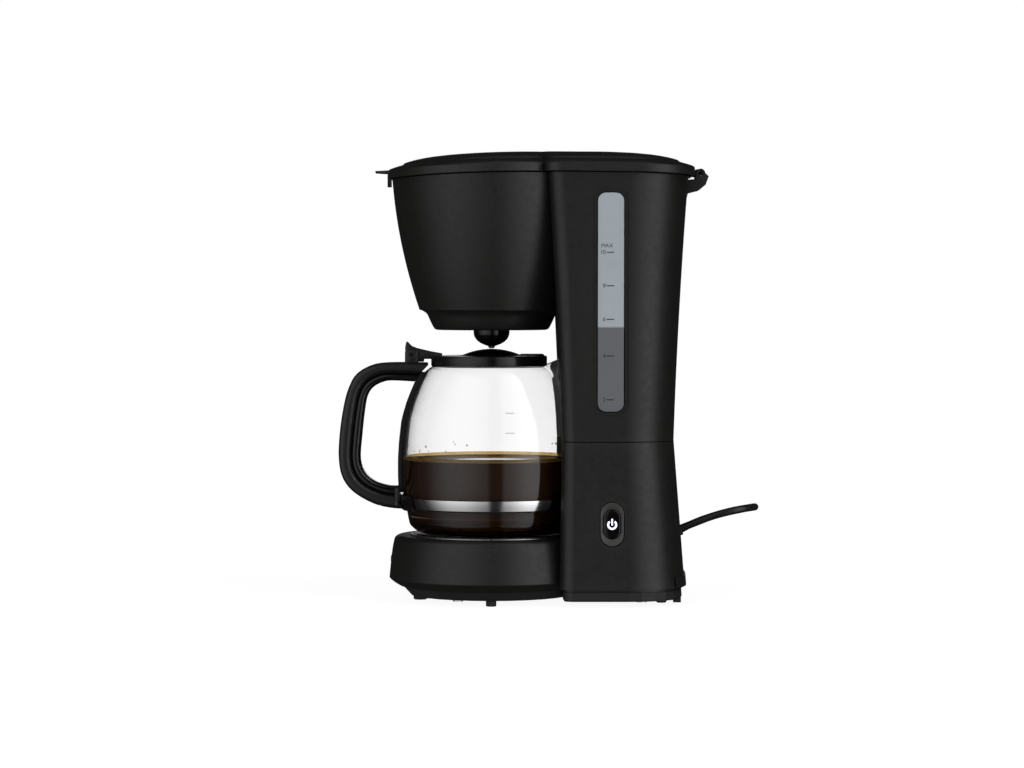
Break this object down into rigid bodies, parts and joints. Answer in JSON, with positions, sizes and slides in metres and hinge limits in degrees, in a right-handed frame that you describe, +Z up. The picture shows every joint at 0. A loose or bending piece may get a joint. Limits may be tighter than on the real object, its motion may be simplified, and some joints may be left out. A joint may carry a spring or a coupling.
{
  "type": "drip coffee maker",
  "caption": "Drip coffee maker: round brew head and hot plate in front of a tank column, glass carafe with handle, hinged lid, filter basket with drip stop, lit push switch and cord.",
  "frame": {"origin": "on the surface that the feet stand on, midway between the front of the carafe's handle and the back of the lid's hinge, and on the plane of symmetry", "axes": "+Z up, -Y towards the front (the carafe's handle), +X the side with the water gauge and the switch"},
  "size_m": [0.2498, 0.3076, 0.3251],
  "materials": {
    "casing": "satin black moulded plastic",
    "underside": "dull black moulded plastic",
    "rubber": "dull black rubber",
    "cord_sheath": "dull black flexible sheath",
    "gloss_black": "glossy black moulded plastic",
    "handle": "satin black heat-resistant plastic",
    "steel": "bright steel",
    "band": "polished steel",
    "plate": "black non-stick enamel",
    "aluminium": "cast and drawn aluminium",
    "glass": "clear heat-resistant glass",
    "window": "grey translucent plastic",
    "water_path": "natural white plastic",
    "silicone": "translucent silicone",
    "lamp": "translucent lens lit from behind"
  },
  "bodies": {
    "machine": {"base_housing": "casing", "tank_housing": "casing", "filter_housing": "casing", "bottom_cover": "underside", "switch_bezel": "underside", "switch_body": "underside", "cord_gland": "underside", "plug": "underside", "foot_front": "rubber", "foot_left": "rubber", "foot_right": "rubber", "foot_rear_left": "rubber", "foot_rear_right": "rubber", "power_cord": "cord_sheath", "cord_coil": "cord_sheath", "cord_tail": "cord_sheath", "lid_hinge_pin": "steel", "cover_screw_front_left": "steel", "cover_screw_front_right": "steel", "cover_screw_rear_left": "steel", "cover_screw_rear_right": "steel", "clamp_screw_left": "steel", "clamp_screw_right": "steel", "heater_clamp": "steel", "plug_pin_left": "steel", "plug_pin_right": "steel", "plate_seal": "band", "hot_plate": "plate", "heater": "aluminium", "gauge_window": "window", "riser_tube": "water_path", "spout_arm": "water_path", "shower_head": "water_path", "check_valve": "water_path", "thermostat": "water_path", "thermal_fuse": "water_path", "tank_outlet": "silicone", "inlet_hose": "silicone", "feed_hose": "silicone", "return_hose": "silicone"},
    "lid": {"lid": "casing"},
    "basket": {"filter_basket": "underside", "basket_handle": "underside", "drip_nozzle": "gloss_black", "drip_spring": "steel"},
    "drip_stop": {"drip_stop_pin": "gloss_black"},
    "button": {"power_button": "gloss_black", "button_lens": "lamp"},
    "valve_ball": {"check_ball": "steel"},
    "carafe": {"carafe_glass": "glass", "carafe_lid": "gloss_black", "carafe_lid_pin": "steel", "carafe_handle": "handle", "handle_insert": "gloss_black", "handle_strap": "handle", "carafe_band": "band", "band_clamp": "handle", "band_screw": "steel"}
  },
  "joints": [
    {"name": "lid_hinge", "type": "hinge", "parent": "machine", "child": "lid", "pos_m": [0, 0.12855, 0.3103], "axis": [-1, 0, 0], "range_deg": [0, 100]},
    {"name": "carafe_slide", "type": "slide", "parent": "machine", "child": "carafe", "axis": [0, -1, 0], "range_m": [0, 0.2]},
    {"name": "basket_lift", "type": "slide", "parent": "machine", "child": "basket", "axis": [0, 0, 1], "range_m": [0, 0.006]},
    {"name": "drip_stop_drop", "type": "slide", "parent": "basket", "child": "drip_stop", "axis": [0, 0, -1], "range_m": [0, 0.004], "deforming": ["drip_spring"]},
    {"name": "power_button_press", "type": "slide", "parent": "machine", "child": "button", "axis": [-1, 0, 0], "range_m": [0, 0.002], "stiffness_N_per_m": 500},
    {"name": "check_ball_lift", "type": "slide", "parent": "machine", "child": "valve_ball", "axis": [0, 0, 1], "range_m": [0, 0.003]}
  ],
  "couplings": [
    {"joint": "drip_stop_drop", "follows": "carafe_slide", "ratio": 0.02}
  ]
}
